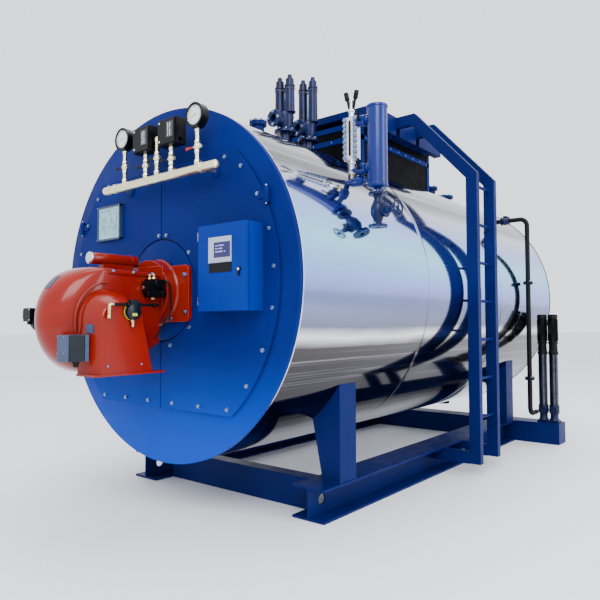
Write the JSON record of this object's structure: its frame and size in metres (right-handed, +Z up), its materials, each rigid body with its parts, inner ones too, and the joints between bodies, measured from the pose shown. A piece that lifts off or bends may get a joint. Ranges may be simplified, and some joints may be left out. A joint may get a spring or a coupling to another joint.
{
  "type": "packaged fire-tube steam boiler",
  "caption": "Horizontal fire-tube steam boiler on a skid, with front burner, control cabinet, level column, access ladder, safety valves and feed pumps.",
  "frame": {"origin": "centre of the four skid anchor holes, on the floor", "axes": "+Y along the boiler from the burner front to the rear, +X the right-hand side seen from the burner, +Z up"},
  "size_m": [2.2049, 4.576, 2.913],
  "materials": {
    "shell_skin": "mirror-polished stainless sheet",
    "front_paint": "gloss",
    "frame_paint": "gloss",
    "casing_paint": "satin",
    "plate_metal": "satin",
    "pipe_metal": "satin",
    "gauge_case": "gloss",
    "switch_case": "satin",
    "cabinet_paint": "gloss",
    "display_glass": "gloss",
    "burner_paint": "gloss",
    "motor_paint": "satin",
    "valve_paint": "painted",
    "column_paint": "gloss",
    "wheel_paint": "gloss",
    "feed_paint": "satin",
    "pump_steel": "satin"
  },
  "bodies": {
    "boiler": {"shell_jacket": "shell_skin", "front_plate": "front_paint", "front_door_left": "front_paint", "front_door_right": "front_paint", "front_door_lugs": "front_paint", "burner_plate": "front_paint", "rear_plate": "frame_paint", "saddles": "frame_paint", "skid_rail_left": "frame_paint", "skid_rail_right": "frame_paint", "skid_front_channel": "frame_paint", "skid_rear_beam": "frame_paint", "ladder_frame_front": "frame_paint", "ladder_frame_rear": "frame_paint", "ladder_rungs": "frame_paint", "ladder_feet": "frame_paint", "platform_side_beams": "frame_paint", "platform_end_beams": "frame_paint", "platform_deck": "frame_paint", "casing_angles": "frame_paint", "flue_casing": "casing_paint", "nameplate": "plate_metal", "manifold": "pipe_metal", "gauge_risers": "pipe_metal", "switch_risers": "pipe_metal", "pressure_gauge_left": "gauge_case", "pressure_gauge_right": "gauge_case", "pressure_switch_left": "switch_case", "pressure_switch_right": "switch_case", "cabinet_body": "cabinet_paint", "burner_flange": "burner_paint", "burner_housing": "burner_paint", "burner_air_box": "burner_paint", "burner_tube": "burner_paint", "burner_motor": "motor_paint", "burner_servo": "motor_paint", "burner_air_switch": "motor_paint", "burner_valve_block": "motor_paint", "safety_valve_front": "valve_paint", "safety_valve_rear": "valve_paint", "top_nozzles": "valve_paint", "level_column": "column_paint", "column_pipes": "column_paint", "level_gauge": "valve_paint", "gauge_valves": "valve_paint", "drain_valve": "valve_paint", "check_valve": "valve_paint", "blowdown_nozzle": "valve_paint", "feed_pipe": "feed_paint", "feed_pump_left": "pump_steel", "feed_pump_right": "pump_steel"},
    "cabinet_door": {"cabinet_door": "cabinet_paint", "display_panel": "display_glass"},
    "drain_handwheel": {"drain_handwheel": "wheel_paint"}
  },
  "joints": [
    {"name": "cabinet_door_hinge", "type": "hinge", "parent": "boiler", "child": "cabinet_door", "pos_m": [0.444, -1.988, 1.34], "axis": [0, 0, -1], "range_deg": [0, 105]},
    {"name": "drain_handwheel_spin", "type": "hinge", "parent": "boiler", "child": "drain_handwheel", "pos_m": [1.128, -1.17, 1.69], "axis": [1, 0, 0], "continuous": true}
  ]
}
